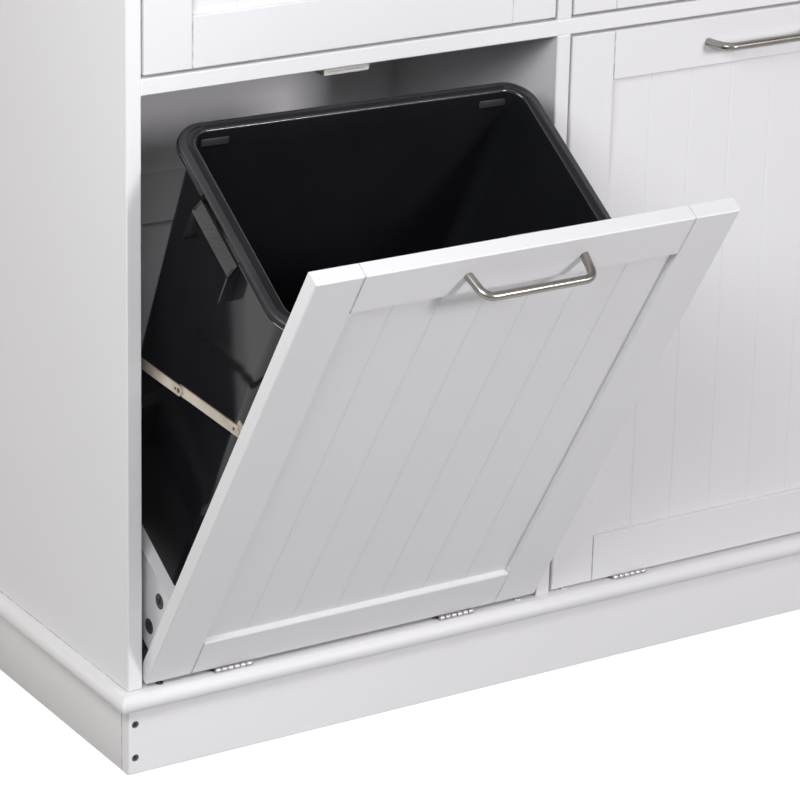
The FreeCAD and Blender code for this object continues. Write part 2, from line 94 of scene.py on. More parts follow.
# Section of the groove between two strips of a panel: place across it and depth
GROOVE = ((-1.0 * mm, 0.0), (-0.75 * mm, 0.06 * mm), (-0.4 * mm, 0.34 * mm), (0.0, 0.45 * mm),
          (0.4 * mm, 0.34 * mm), (0.75 * mm, 0.06 * mm), (1.0 * mm, 0.0))


# Shader groups

def shader_group(name, inputs, outputs):
    """Empty node group with its sockets; each input is (name, kind, default)."""
    group = bpy.data.node_groups.new(name, "ShaderNodeTree")
    for label, kind, default in inputs:
        socket = group.interface.new_socket(label, in_out="INPUT", socket_type=kind)
        socket.default_value = default
    for label, kind in outputs:
        group.interface.new_socket(label, in_out="OUTPUT", socket_type=kind)
    return group, group.nodes.new("NodeGroupInput"), group.nodes.new("NodeGroupOutput")


def place(tree, kind, **values):
    """Adds a node; values name its settings or, with spaces as underscores, its input sockets."""
    node = tree.nodes.new(kind)
    for key, value in values.items():
        if hasattr(node, key):
            setattr(node, key, value)
        else:
            node.inputs[key.replace("_", " ")].default_value = value
    return node


def feed(tree, socket, value):
    """Gives a socket a plain value or a link."""
    if isinstance(value, (int, float, tuple)):
        socket.default_value = value
    else:
        tree.links.new(value, socket)


def math_node(tree, operation, first, second=0.0):
    node = place(tree, "ShaderNodeMath", operation=operation)
    feed(tree, node.inputs[0], first)
    feed(tree, node.inputs[1], second)
    return node.outputs[0]


def vector_node(tree, operation, first, second):
    node = place(tree, "ShaderNodeVectorMath", operation=operation)
    feed(tree, node.inputs[0], first)
    feed(tree, node.inputs[1], second)
    return node.outputs["Value" if operation == "DOT_PRODUCT" else "Vector"]


def mix_colour(tree, factor, first, second):
    node = place(tree, "ShaderNodeMix", data_type="RGBA")
    # The colour sockets of a mix node are numbers 6 and 7, and its colour result is number 2
    for number, value in ((0, factor), (6, first), (7, second)):
        feed(tree, node.inputs[number], value)
    return node.outputs[2]


def ramp(tree, value, low, high, to_low=0.0, to_high=1.0):
    """Maps one range of a value to another, held at its ends."""
    node = tree.nodes.new("ShaderNodeMapRange")
    node.inputs["From Min"].default_value = low
    node.inputs["From Max"].default_value = high
    node.inputs["To Min"].default_value = to_low
    node.inputs["To Max"].default_value = to_high
    tree.links.new(value, node.inputs["Value"])
    return node.outputs["Result"]


def noise(tree, vector, scale, detail=3.0, roughness=0.5):
    node = place(tree, "ShaderNodeTexNoise", Scale=scale, Detail=detail, Roughness=roughness)
    tree.links.new(vector, node.inputs["Vector"])
    return node.outputs["Fac"]


def stretched(tree, vector, scale):
    node = place(tree, "ShaderNodeMapping", Scale=scale)
    tree.links.new(vector, node.inputs["Vector"])
    return node.outputs["Vector"]


def paint_film_group():
    """Sprayed paint on board: broad tone drift, faint fibre lines, orange peel and small scuffs."""
    group, given, made = shader_group("paint_film", [
        ("Vector", "NodeSocketVector", (0, 0, 0)),
        ("Light Tone", "NodeSocketColor", (0.85, 0.85, 0.86, 1)),
        ("Dark Tone", "NodeSocketColor", (0.78, 0.78, 0.79, 1)),
        ("Gloss", "NodeSocketFloat", 0.36),
        ("Fibre", "NodeSocketVector", (60, 60, 3)),
    ], [("Color", "NodeSocketColor"), ("Roughness", "NodeSocketFloat"), ("Height", "NodeSocketFloat")])
    vector = given.outputs["Vector"]
    drift = ramp(group, noise(group, vector, 3.2, 4.0), 0.35, 0.68)
    fibre = noise(group, vector_node(group, "MULTIPLY", vector, given.outputs["Fibre"]), 6.0, 5.0, 0.6)
    scuff = ramp(group, noise(group, vector, 34.0, 6.0, 0.7), 0.62, 0.74)
    tone = math_node(group, "ADD", math_node(group, "MULTIPLY", drift, 0.6),
                     math_node(group, "MULTIPLY", ramp(group, fibre, 0.4, 0.7), 0.12))
    colour = mix_colour(group, tone, given.outputs["Light Tone"], given.outputs["Dark Tone"])
    group.links.new(colour, made.inputs["Color"])
    rough = math_node(group, "ADD", given.outputs["Gloss"], math_node(group, "MULTIPLY", scuff, 0.1))
    rough = math_node(group, "ADD", rough, math_node(group, "MULTIPLY", drift, 0.06))
    group.links.new(rough, made.inputs["Roughness"])
    peel = noise(group, vector, 420.0, 2.0)
    height = math_node(group, "ADD", math_node(group, "MULTIPLY", peel, 0.5),
                       math_node(group, "MULTIPLY", fibre, 0.35))
    group.links.new(height, made.inputs["Height"])
    return group


def brushed_grain_group():
    """Fine drawn lines along one direction, with warm and cool streaks."""
    group, given, made = shader_group("brushed_grain", [
        ("Vector", "NodeSocketVector", (0, 0, 0)),
        ("Light Tone", "NodeSocketColor", (0.75, 0.74, 0.72, 1)),
        ("Dark Tone", "NodeSocketColor", (0.5, 0.47, 0.43, 1)),
        ("Gloss", "NodeSocketFloat", 0.3),
        ("Stretch", "NodeSocketVector", (3, 160, 160)),
    ], [("Color", "NodeSocketColor"), ("Roughness", "NodeSocketFloat"), ("Height", "NodeSocketFloat")])
    along = vector_node(group, "MULTIPLY", given.outputs["Vector"], given.outputs["Stretch"])
    lines = noise(group, along, 12.0, 4.0, 0.65)
    streak = ramp(group, noise(group, along, 2.5, 2.0), 0.38, 0.62)
    colour = mix_colour(group, streak, given.outputs["Light Tone"], given.outputs["Dark Tone"])
    group.links.new(colour, made.inputs["Color"])
    rough = math_node(group, "ADD", given.outputs["Gloss"], ramp(group, lines, 0.3, 0.7, -0.06, 0.1))
    group.links.new(rough, made.inputs["Roughness"])
    group.links.new(lines, made.inputs["Height"])
    return group


def moulded_skin_group():
    """Moulded plastic: faint flow marks, fine spark texture and a little dust."""
    group, given, made = shader_group("moulded_skin", [
        ("Vector", "NodeSocketVector", (0, 0, 0)),
        ("Tone", "NodeSocketColor", (0.012, 0.012, 0.014, 1)),
        ("Dust Tone", "NodeSocketColor", (0.04, 0.04, 0.042, 1)),
        ("Gloss", "NodeSocketFloat", 0.3),
        ("Spark Scale", "NodeSocketFloat", 700.0),
    ], [("Color", "NodeSocketColor"), ("Roughness", "NodeSocketFloat"), ("Height", "NodeSocketFloat")])
    vector = given.outputs["Vector"]
    flow = noise(group, stretched(group, vector, (1.0, 1.0, 0.25)), 9.0, 4.0, 0.6)
    dust = ramp(group, noise(group, vector, 14.0, 4.0, 0.5), 0.35, 0.75)
    spark = place(group, "ShaderNodeTexVoronoi")
    group.links.new(vector, spark.inputs["Vector"])
    group.links.new(given.outputs["Spark Scale"], spark.inputs["Scale"])
    colour = mix_colour(group, dust, given.outputs["Tone"], given.outputs["Dust Tone"])
    group.links.new(colour, made.inputs["Color"])
    rough = math_node(group, "ADD", given.outputs["Gloss"], ramp(group, flow, 0.3, 0.7, -0.03, 0.04))
    rough = math_node(group, "ADD", rough, math_node(group, "MULTIPLY", dust, 0.04))
    group.links.new(rough, made.inputs["Roughness"])
    group.links.new(spark.outputs["Distance"], made.inputs["Height"])
    return group


def joint_shade_group():
    """Shade in the joints of a board: darkens a narrow band Reach away from Middle, on both sides of the cabinet."""
    band_width = 0.9 * mm
    shade_tone = (0.12, 0.117, 0.115, 1)
    group, given, made = shader_group("joint_shade", [
        ("Vector", "NodeSocketVector", (0, 0, 0)),
        ("Color", "NodeSocketColor", (0.8, 0.8, 0.8, 1)),
        ("Axis", "NodeSocketVector", (1, 0, 0)),
        ("Middle", "NodeSocketFloat", 0.0),
        ("Reach", "NodeSocketFloat", 1.0),
    ], [("Color", "NodeSocketColor")])
    along = vector_node(group, "DOT_PRODUCT", given.outputs["Vector"], given.outputs["Axis"])
    off = math_node(group, "SUBTRACT", math_node(group, "ABSOLUTE", along), given.outputs["Middle"])
    past = math_node(group, "SUBTRACT", math_node(group, "ABSOLUTE", off), given.outputs["Reach"])
    band = math_node(group, "MULTIPLY", math_node(group, "GREATER_THAN", past, 0.0),
                     math_node(group, "LESS_THAN", past, band_width))
    # Painted shade in the joint, made patchy by noise
    shade_depth = ramp(group, noise(group, given.outputs["Vector"], 90.0, 3.0), 0.35, 0.6, 0.2, 0.55)
    colour = mix_colour(group, math_node(group, "MULTIPLY", band, shade_depth), given.outputs["Color"], shade_tone)
    group.links.new(colour, made.inputs["Color"])
    return group


paint_film = paint_film_group()
brushed_grain = brushed_grain_group()
moulded_skin = moulded_skin_group()
joint_shade = joint_shade_group()


# Materials

# Direction of the fibre in painted boards: the noise is drawn out along the axis with the small number
FIBRE_X, FIBRE_Y, FIBRE_Z = (3, 60, 60), (60, 3, 60), (60, 60, 3)
ALONG_X, ALONG_Y, ALONG_Z = (1, 0, 0), (0, 1, 0), (0, 0, 1)


def group_node(tree, group, settings):
    node = place(tree, "ShaderNodeGroup", node_tree=group)
    for key, value in settings.items():
        node.inputs[key].default_value = value
    return node


def surfaced(name, group, bump_strength, bump_distance, settings, metallic=0.0, specular=0.5, space="Object",
             joint=None):
    """Material with colour, roughness and bump from one shader group, and the painted shade of its joints from
    another.
    """
    material = bpy.data.materials.new(name)
    material.use_nodes = True
    tree = material.node_tree
    shader = tree.nodes["Principled BSDF"]
    shader.inputs["Metallic"].default_value = metallic
    shader.inputs["Specular IOR Level"].default_value = specular
    skin = group_node(tree, group, settings)
    spot = tree.nodes.new("ShaderNodeTexCoord").outputs[space]
    tree.links.new(spot, skin.inputs["Vector"])
    bump = place(tree, "ShaderNodeBump", Strength=bump_strength, Distance=bump_distance)
    tree.links.new(skin.outputs["Height"], bump.inputs["Height"])
    colour = skin.outputs["Color"]
    if joint:
        shade = group_node(tree, joint_shade, joint)
        tree.links.new(spot, shade.inputs["Vector"])
        tree.links.new(colour, shade.inputs["Color"])
        colour = shade.outputs["Color"]
    tree.links.new(colour, shader.inputs["Base Color"])
    tree.links.new(skin.outputs["Roughness"], shader.inputs["Roughness"])
    tree.links.new(bump.outputs["Normal"], shader.inputs["Normal"])
    return material


def painted(name, tones, gloss=0.45, fibre=FIBRE_Z, joint=None):
    light, dark = tones
    return surfaced(name, paint_film, 0.1, 0.4 * mm,
                    {"Light Tone": (*light, 1), "Dark Tone": (*dark, 1), "Gloss": gloss, "Fibre": fibre}, joint=joint)


def metal(name, light, dark, gloss, stretch, bump=0.1, space="Object"):
    return surfaced(name, brushed_grain, bump, 0.2 * mm,
                    {"Light Tone": (*light, 1), "Dark Tone": (*dark, 1), "Gloss": gloss, "Stretch": stretch},
                    metallic=1.0, space=space)


def moulded(name, tone, dust, gloss, spark, bump, metallic=0.0, specular=0.5):
    return surfaced(name, moulded_skin, bump, 0.3 * mm,
                    {"Tone": (*tone, 1), "Dust Tone": (*dust, 1), "Gloss": gloss, "Spark Scale": spark},
                    metallic=metallic, specular=specular)


def joint_at(axis, middle, reach):
    """Where the joints of a board lie, in metres along an axis of the cabinet."""
    return {"Axis": axis, "Middle": middle, "Reach": reach}


def white_caps(material, reach):
    """Turns the screw heads beside the divider white, as capped heads, and leaves the others as they are."""
    cap_tone = (0.8, 0.795, 0.805, 1)
    tree = material.node_tree
    shader = tree.nodes["Principled BSDF"]
    bare = shader.inputs["Base Color"].links[0].from_socket
    across = tree.nodes.new("ShaderNodeSeparateXYZ")
    tree.links.new(tree.nodes["Texture Coordinate"].outputs["Object"], across.inputs[0])
    capped = math_node(tree, "LESS_THAN", math_node(tree, "ABSOLUTE", across.outputs["X"]), reach)
    tree.links.new(mix_colour(tree, capped, bare, cap_tone), shader.inputs["Base Color"])
    metallic = shader.inputs["Metallic"]
    tree.links.new(ramp(tree, capped, 0.0, 1.0, metallic.default_value, 0.0), metallic)


front_tones = (0.83, 0.825, 0.835), (0.80, 0.795, 0.805)
inner_tones = (0.80, 0.795, 0.80), (0.76, 0.755, 0.76)
upright_paint = painted("upright_paint", front_tones)
groove_paint = painted("groove_paint", ((0.815, 0.81, 0.82), (0.785, 0.78, 0.79)), gloss=0.55)
# The joint bands of the side, rail, end board and back rail paints are painted shade in the joints between boards
side_paint = painted("side_paint", ((0.865, 0.86, 0.87), (0.835, 0.83, 0.84)),
                     joint=joint_at(ALONG_Z, 0.4785, 0.3926))
rail_paint = painted("rail_paint", front_tones, fibre=FIBRE_X, joint=joint_at(ALONG_X, 0.2255, 0.16665))
level_paint = painted("level_paint", ((0.86, 0.855, 0.865), (0.83, 0.825, 0.835)), fibre=FIBRE_X)
plinth_paint = painted("plinth_paint", ((0.87, 0.865, 0.87), (0.84, 0.835, 0.84)), fibre=FIBRE_X)
# Warmer and darker than the plinth front's paint: painted shade for the plinth's sides
end_board_shade_paint = painted("end_board_shade_paint", ((0.83, 0.82, 0.815), (0.80, 0.79, 0.785)), fibre=FIBRE_Y,
                          joint=joint_at(ALONG_Y, 0.0, 0.1275))
# The tray's paint is darker than the other boards: painted shade for the tray lying behind the door's edge
tray_shade_paint = painted("tray_shade_paint", ((0.69, 0.685, 0.70), (0.65, 0.645, 0.66)), gloss=0.5)
# Only the lower of its two joints falls on the rail
back_rail_paint = painted("back_rail_paint", inner_tones, gloss=0.5, fibre=FIBRE_X,
                          joint=joint_at(ALONG_Z, 0.470, 0.0380))
inner_paint = painted("inner_paint", inner_tones, gloss=0.5)
bin_plastic = moulded("bin_plastic", (0.011, 0.0115, 0.014), (0.014, 0.0145, 0.017), 0.1, 900.0, 0.02,
                      specular=0.36)
bin_edge = moulded("bin_edge", (0.013, 0.0135, 0.016), (0.018, 0.018, 0.020), 0.14, 900.0, 0.02, specular=0.8)
bin_grain = moulded("bin_grain", (0.022, 0.022, 0.024), (0.034, 0.034, 0.036), 0.45, 320.0, 0.6, specular=0.4)
BIN_FINISHES = [bin_plastic, bin_edge, bin_grain]
PLASTIC, EDGE, GRAIN = range(3)
handle_metal = metal("handle_nickel", (0.42, 0.40, 0.37), (0.22, 0.19, 0.16), 0.27, (4, 220, 1), 0.05, "UV")
hinge_metal = metal("hinge_nickel", (0.66, 0.65, 0.64), (0.52, 0.51, 0.50), 0.42, (120, 30, 30))
stay_metal = metal("stay_zinc", (0.66, 0.60, 0.52), (0.52, 0.47, 0.40), 0.6, (160, 12, 12))
cam_metal = moulded("cam_casting", (0.055, 0.055, 0.06), (0.11, 0.11, 0.115), 0.45, 500.0, 0.25, 0.5)
oxide = (0.06, 0.057, 0.054), (0.13, 0.12, 0.11), 0.45, 600.0, 0.2, 0.5
screw_metal = moulded("screw_oxide", *oxide)
assembly_screw_metal = moulded("assembly_screws", *oxide)
white_caps(assembly_screw_metal, 100 * mm)
catch_plastic = moulded("catch_plastic", (0.85, 0.85, 0.83), (0.78, 0.77, 0.75), 0.35, 800.0, 0.08)

# The first word that is in a node's name gives its finish
FINISHES = {
    "handle": handle_metal, "hinge": hinge_metal, "stay": stay_metal, "strike": stay_metal,
    "drawer_rails": stay_metal, "runners": stay_metal, "cams": cam_metal, "screws": assembly_screw_metal,
    "catches": catch_plastic, "bin": bin_plastic, "plinth": plinth_paint, "side_panel": side_paint,
    "door_rails": rail_paint, "front_frame": rail_paint, "shelf": level_paint, "back_rails": back_rail_paint,
    "board": level_paint, "back_panel": inner_paint, "tray": tray_shade_paint, "drawer_box": inner_paint,
    "drawer_bottom": inner_paint,
}


def dress(name, item):
    """Gives a node of the frame its finish by the words in its name."""
    item.data.materials.clear()
    item.data.materials.append(next((paint for word, paint in FINISHES.items() if word in name), upright_paint))


for name, item in nodes.items():
    dress(name, item)


# Pieces

def piece(name, mesh, finishes, body, sharp_angle=35.0, stands_for=()):
    """Makes an object of a bmesh, riding on a body and standing for the named nodes of the frame."""
    data = bpy.data.meshes.new(name)
    mesh.to_mesh(data)
    mesh.free()
    data.shade_smooth()
    data.set_sharp_from_angle(angle=math.radians(sharp_angle))
    for finish in finishes:
        data.materials.append(finish)
    item = bpy.data.objects.new(name, data)
    bpy.context.scene.collection.objects.link(item)
    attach(item, body)
    if stands_for:
        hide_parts(*stands_for)


def door_pose(side):
    """Turn from the shut door to the pose that the door has at rest."""
    if side == "right":
        return STILL
    return Matrix.Translation(hinge_axis) @ Matrix.Rotation(open_angle, 4, "X") @ Matrix.Translation(-hinge_axis)


def rounded(mesh, edges, radius, steps):
    bmesh.ops.bevel(mesh, geom=edges, offset=radius, offset_type="OFFSET", segments=steps, profile=0.5,
                    affect="EDGES", material=-1, clamp_overlap=True)


def block(mesh, low, high):
    """Upright block between two corners; returns its corners."""
    made = bmesh.ops.create_cube(mesh, size=1.0)["verts"]
    bmesh.ops.scale(mesh, vec=high - low, verts=made)
    bmesh.ops.translate(mesh, vec=(low + high) / 2, verts=made)
    return made


def half_round_board(name):
    """Board with half-round front and end edges, mitred and eased where they meet."""
    low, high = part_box(name)
    mitre_ease = 1.2 * mm
    mesh = bmesh.new()
    block(mesh, low, high)
    rims = []
    for edge in mesh.edges:
        a, b = edge.verts
        if abs(a.co.z - b.co.z) < tiny and min(a.co.y, b.co.y) < high.y - tiny:
            rims.append(edge)
    rounded(mesh, rims, edge_board_round, 8)
    bmesh.ops.recalc_face_normals(mesh, faces=mesh.faces)

    def at_corner(vert):
        return vert.co.y < low.y + edge_board_round and abs(vert.co.x) > high.x - edge_board_round

    mitres = [edge for edge in mesh.edges
              if all(map(at_corner, edge.verts)) and edge.calc_face_angle(0.0) > math.radians(25)]
    rounded(mesh, mitres, mitre_ease, 2)
    piece("half_round_" + name, mesh, [level_paint], "cabinet", 50.0, [name])


def plinth_ends():
    """End boards of the plinth, butted behind the front board with a narrow open joint."""
    low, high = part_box("plinth_ends")
    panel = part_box("left_side_panel")
    thickness = panel[1].x - panel[0].x
    joint = 0.8 * mm
    ease = 0.5 * mm
    mesh = bmesh.new()
    block(mesh, Vector((low.x, low.y + joint, low.z)), Vector((low.x + thickness, high.y, high.z)))
    block(mesh, Vector((high.x - thickness, low.y + joint, low.z)), high)
    rounded(mesh, mesh.edges[:], ease, 2)
    bmesh.ops.recalc_face_normals(mesh, faces=mesh.faces)
    piece("plinth_end_boards", mesh, [end_board_shade_paint], "cabinet", 40.0, ["plinth_ends"])


def ring(mesh, width, depth, radius, z):
    """Closed loop of edges round a level section of the bin, its corners round."""
    before = set(mesh.edges)
    corners = bmesh.ops.create_grid(mesh, x_segments=1, y_segments=1, size=0.5)["verts"]
    bmesh.ops.scale(mesh, vec=(width, depth, 1.0), verts=corners)
    lean = (bin_size.z - z) * (bin_back_slope - bin_front_slope) / 2
    bmesh.ops.translate(mesh, vec=(0.0, -lean, z), verts=corners)
    bmesh.ops.bevel(mesh, geom=corners, offset=radius, offset_type="OFFSET", segments=12, profile=0.5,
                    affect="VERTICES", material=-1)
    loop = [edge for edge in mesh.edges if edge not in before]
    bmesh.ops.delete(mesh, geom=list({face for edge in loop for face in edge.link_faces}), context="FACES_ONLY")
    return loop


def bin_outline(z, wall):
    """Width, depth and corner radius of the drafted body at a height, inside by wall."""
    fall = bin_size.z - z
    width = bin_size.x - 2 * bin_overhang - 2 * fall * bin_side_slope - 2 * wall
    depth = bin_size.y - 2 * bin_overhang - fall * (bin_back_slope + bin_front_slope) - 2 * wall
    corner = bin_corner * (1 - 0.5 * fall / bin_size.z)
    return width, depth, max(corner - wall, 2 * mm)


def bin_body(mesh):
    """Bucket with a rolled rim: rings from the inner floor over the rim to the foot, bridged in turn."""
    top = bin_size.z
    rim = Vector((bin_size.x + 2 * rim_spread, bin_size.y))
    bead = 0.8 * mm
    lip = 2.5 * mm
    rim_corner = bin_corner + bin_overhang
    foot_z = 4 * mm

    def rim_line(inset, drop):
        return rim.x - 2 * inset, rim.y - 2 * inset, rim_corner - inset, top - drop

    # Width, depth, corner radius and height of each ring
    profile = [
        (*bin_outline(bin_wall, bin_wall + 7 * mm), bin_wall),
        (*bin_outline(bin_wall, bin_wall + 3 * mm), bin_wall + 0.8 * mm),
        (*bin_outline(bin_wall + 3 * mm, bin_wall + 0.8 * mm), bin_wall + 3 * mm),
        (*bin_outline(bin_wall + 7 * mm, bin_wall), bin_wall + 7 * mm),
        (*bin_outline(top - 26 * mm, bin_wall), top - 26 * mm),
        (*bin_outline(top - 2.4 * mm, bin_wall), top - 2.4 * mm),
        (*bin_outline(top, bin_wall - 0.2 * mm), top - 1.5 * mm),
        (*bin_outline(top, bin_wall - 0.8 * mm), top - 0.8 * mm),
        (*bin_outline(top, bin_wall - 2.2 * mm), top - 0.3 * mm),
    ]
    profile += [rim_line(7.0 * mm, 0.0), rim_line(6.3 * mm, 0.5 * mm)]
    shoulder = Vector((5.2 * mm, 3.4 * mm))
    shoulder_drop = 0.8 * mm
    for step in range(6):
        angle = math.radians(18 * step)
        profile.append(rim_line(shoulder.x * (1 - math.sin(angle)),
                                shoulder_drop + shoulder.y * (1 - math.cos(angle))))
    skirt_low = top - bin_skirt
    profile += [
        (rim.x, rim.y, rim_corner, skirt_low + 2.6 * mm),
        (rim.x + 0.4 * mm, rim.y + 0.4 * mm, rim_corner, skirt_low + 2.2 * mm),
        (rim.x + 2 * bead, rim.y + 2 * bead, rim_corner + bead, skirt_low + 1.8 * mm),
        (rim.x + 2 * bead, rim.y + 2 * bead, rim_corner + bead, skirt_low + 0.4 * mm),
        (rim.x + bead, rim.y + bead, rim_corner, skirt_low),
        (rim.x - 2 * lip, rim.y - 2 * lip, rim_corner - lip, skirt_low + 0.4 * mm),
        (rim.x - 2 * lip, rim.y - 2 * lip, rim_corner - lip, top - bin_wall),
        (*bin_outline(top - bin_wall, -1.0 * mm), top - bin_wall - 0.4 * mm),
        (*bin_outline(top - bin_wall - 1.4 * mm, 0.0), top - bin_wall - 1.4 * mm),
        (*bin_outline(foot_z, 0.0), foot_z),
        (*bin_outline(foot_z, 0.4 * mm), 2.3 * mm),
        (*bin_outline(foot_z, 1.3 * mm), 1.0 * mm),
        (*bin_outline(foot_z, 2.6 * mm), 0.4 * mm),
        (*bin_outline(foot_z, foot_z), 0.0),
    ]
    loops = [ring(mesh, *line) for line in profile]
    # By number of the first of two rings: the rim's inner edge is polished and its outer shoulder grained
    finish_of = {**dict.fromkeys(range(5, 8), EDGE), **dict.fromkeys(range(10, 15), GRAIN)}
    for number, (first, second) in enumerate(zip(loops, loops[1:])):
        for face in bmesh.ops.bridge_loops(mesh, edges=first + second)["faces"]:
            face.material_index = finish_of.get(number, PLASTIC)
    for loop in (loops[0], loops[-1]):
        bmesh.ops.contextual_create(mesh, geom=loop)
    bmesh.ops.recalc_face_normals(mesh, faces=mesh.faces)
    foot = min(mesh.faces, key=lambda face: face.calc_center_median().z)
    if foot.normal.z > 0:
        bmesh.ops.reverse_faces(mesh, faces=mesh.faces)


def bar(mesh, corners, along, ease):
    """Prism of a few corners drawn out along a direction, its edges eased; returns its faces."""
    before = set(mesh.faces)
    points = [mesh.verts.new(corner) for corner in corners]
    face = mesh.faces.new(points)
    drawn = bmesh.ops.extrude_face_region(mesh, geom=[face], use_keep_orig=True)["geom"]
    moved = [part for part in drawn if isinstance(part, bmesh.types.BMVert)]
    bmesh.ops.translate(mesh, vec=along, verts=moved)
    edges = {edge for vert in points + moved for edge in vert.link_edges}
    if ease:
        rounded(mesh, list(edges), ease, 2)
    made = [face for face in mesh.faces if face not in before]
    bmesh.ops.recalc_face_normals(mesh, faces=made)
    return made


def bin_grip(mesh, sign):
    """Finger bar held off one side of the bin by two fins."""
    half = bin_size.x / 2
    top = bin_size.z
    lip_top = top - 25 * mm
    lip_low = top - 39 * mm
    fin_low = top - 73 * mm
    lip_inset = 5.6 * mm
    start = grip_middle - grip_length / 2
    plate = 3 * mm
    into_wall = 1.5 * mm

    def wall(z):
        return sign * (half - bin_overhang - into_wall - (top - z) * bin_side_slope)

    def out(inset):
        return sign * (half - inset)

    lip = [(out(lip_inset), lip_top), (out(1.2 * mm), lip_low + 3 * mm), (out(0.2 * mm), lip_low + 0.9 * mm),
           (out(0.6 * mm), lip_low + 0.1 * mm), (out(plate), lip_low), (out(lip_inset + plate), lip_top - 0.6 * mm)]
    fin = [(wall(lip_top), lip_top), (out(lip_inset), lip_top), (out(0), lip_low), (out(1.0 * mm), lip_low - 3 * mm),
           (out(1.5 * mm), fin_low), (wall(fin_low), fin_low)]
    for face in bar(mesh, [(x, start, z) for x, z in lip], (0, grip_length, 0), 0):
        face.material_index = GRAIN
    for y in (start, start + grip_length - plate):
        bar(mesh, [(x, y, z) for x, z in fin], (0, plate, 0), 0.5 * mm)


def skirt_openings(mesh):
    """Takes the rim's skirt away above each grip, so that fingers reach behind the bar."""
    half = bin_size.x / 2 + rim_spread
    start, end = skirt_gap_middle - skirt_gap_length / 2, skirt_gap_middle + skirt_gap_length / 2
    slant = 1.5 * mm
    for y in (start, start + slant, end - slant, end):
        everything = mesh.verts[:] + mesh.edges[:] + mesh.faces[:]
        bmesh.ops.bisect_plane(mesh, geom=everything, plane_co=(0, y, 0), plane_no=(0, 1, 0))
    inner = bin_size.x / 2 - bin_overhang + 1.5 * mm
    below_skirt = bin_size.z - bin_skirt - 1 * mm
    edge_z = bin_size.z - 4.4 * mm
    for vert in mesh.verts:
        within = start + 1 * mm < vert.co.y < end - 1 * mm
        if within and abs(vert.co.x) > inner and below_skirt < vert.co.z < edge_z:
            vert.co.z = edge_z
            vert.co.x = math.copysign(min(abs(vert.co.x), half), vert.co.x)
    bmesh.ops.dissolve_degenerate(mesh, dist=tiny, edges=mesh.edges)


def bin_lugs(mesh):
    """Two stacking lugs on the inner back wall, close under the rim."""
    high = bin_size.z - 10 * mm
    low = bin_size.z - 16 * mm
    length = 28 * mm
    into_wall = 0.5 * mm
    back_high = bin_outline(high, bin_wall)[1] / 2 + into_wall
    back_low = bin_outline(low, bin_wall)[1] / 2 + into_wall
    for x in (-157 * mm, 131 * mm):
        lug = bar(mesh, [(x, back_high, high), (x, back_high - 1.2 * mm, high), (x, back_low - 3.6 * mm, low),
                         (x, back_low, low)], (length, 0, 0), 0.5 * mm)
        for face in lug:
            face.material_index = GRAIN


def moulded_bin(side):
    mesh = bmesh.new()
    bin_body(mesh)
    skirt_openings(mesh)
    for sign in (-1, 1):
        bin_grip(mesh, sign)
    bin_lugs(mesh)
    stand = Matrix.Translation((bay_middle[side] + bin_offset, bin_middle_y, tray_floor_top))
    stand = stand @ Matrix.Rotation(bin_turn, 4, "Z")
    bmesh.ops.transform(mesh, matrix=door_pose(side) @ stand, verts=mesh.verts)
    piece(side + "_bin_moulding", mesh, BIN_FINISHES, side + "_bin", 40.0, [side + "_bin"])


def bow_handle(name, body, middle, pose):
    """Bent rod: a leg drawn out of the front, a bend spun round its centre, half the bar, and a mirror copy."""
    foot, reach, lean, bend, radius = 59 * mm, 26 * mm, 4 * mm, 11 * mm, 4 * mm
    run = math.hypot(lean, reach)
    sweep = math.pi / 2 - math.atan2(lean, reach)
    along = Vector((lean, -reach, 0)) / run
    tangent = bend * math.tan(sweep / 2)
    mesh = bmesh.new()
    disc = bmesh.ops.create_circle(mesh, cap_ends=True, segments=24, radius=radius)["verts"]
    spin = along.to_track_quat("Z", "Y").to_matrix().to_4x4()
    bmesh.ops.transform(mesh, matrix=Matrix.Translation((-foot, 0, 0)) @ spin, verts=disc)
    face = next(iter(mesh.faces))

    def draw(face, vector):
        made = bmesh.ops.extrude_face_region(mesh, geom=[face])["geom"]
        bmesh.ops.translate(mesh, vec=vector, verts=[p for p in made if isinstance(p, bmesh.types.BMVert)])
        return next(p for p in made if isinstance(p, bmesh.types.BMFace))

    face = draw(face, along * (run - tangent))
    elbow = Vector((-foot, 0, 0)) + along * (run - tangent)
    sideways = Vector((-along.y, along.x, 0))
    made = bmesh.ops.spin(mesh, geom=[face], cent=elbow + sideways * bend, axis=(0, 0, 1), angle=sweep,
                          steps=12)["geom_last"]
    face = next(p for p in made if isinstance(p, bmesh.types.BMFace))
    face = draw(face, (-face.calc_center_median().x, 0, 0))
    bmesh.ops.delete(mesh, geom=[face], context="FACES_ONLY")
    bmesh.ops.mirror(mesh, geom=mesh.verts[:] + mesh.edges[:] + mesh.faces[:], axis="X", merge_dist=1e-5)
    bmesh.ops.remove_doubles(mesh, verts=mesh.verts, dist=tiny)
    inside = [face for face in mesh.faces if all(len(edge.link_faces) > 2 for edge in face.edges)]
    bmesh.ops.delete(mesh, geom=inside, context="FACES_ONLY")
    bmesh.ops.recalc_face_normals(mesh, faces=mesh.faces)
    drawn = mesh.loops.layers.uv.new("drawn")
    for face in mesh.faces:
        for loop in face.loops:
            loop[drawn].uv = (abs(loop.vert.co.x) - loop.vert.co.y, loop.vert.co.z)
    bmesh.ops.transform(mesh, matrix=pose @ Matrix.Translation(middle), verts=mesh.verts)
    piece(name + "_rod", mesh, [handle_metal], body, 60.0, [name])


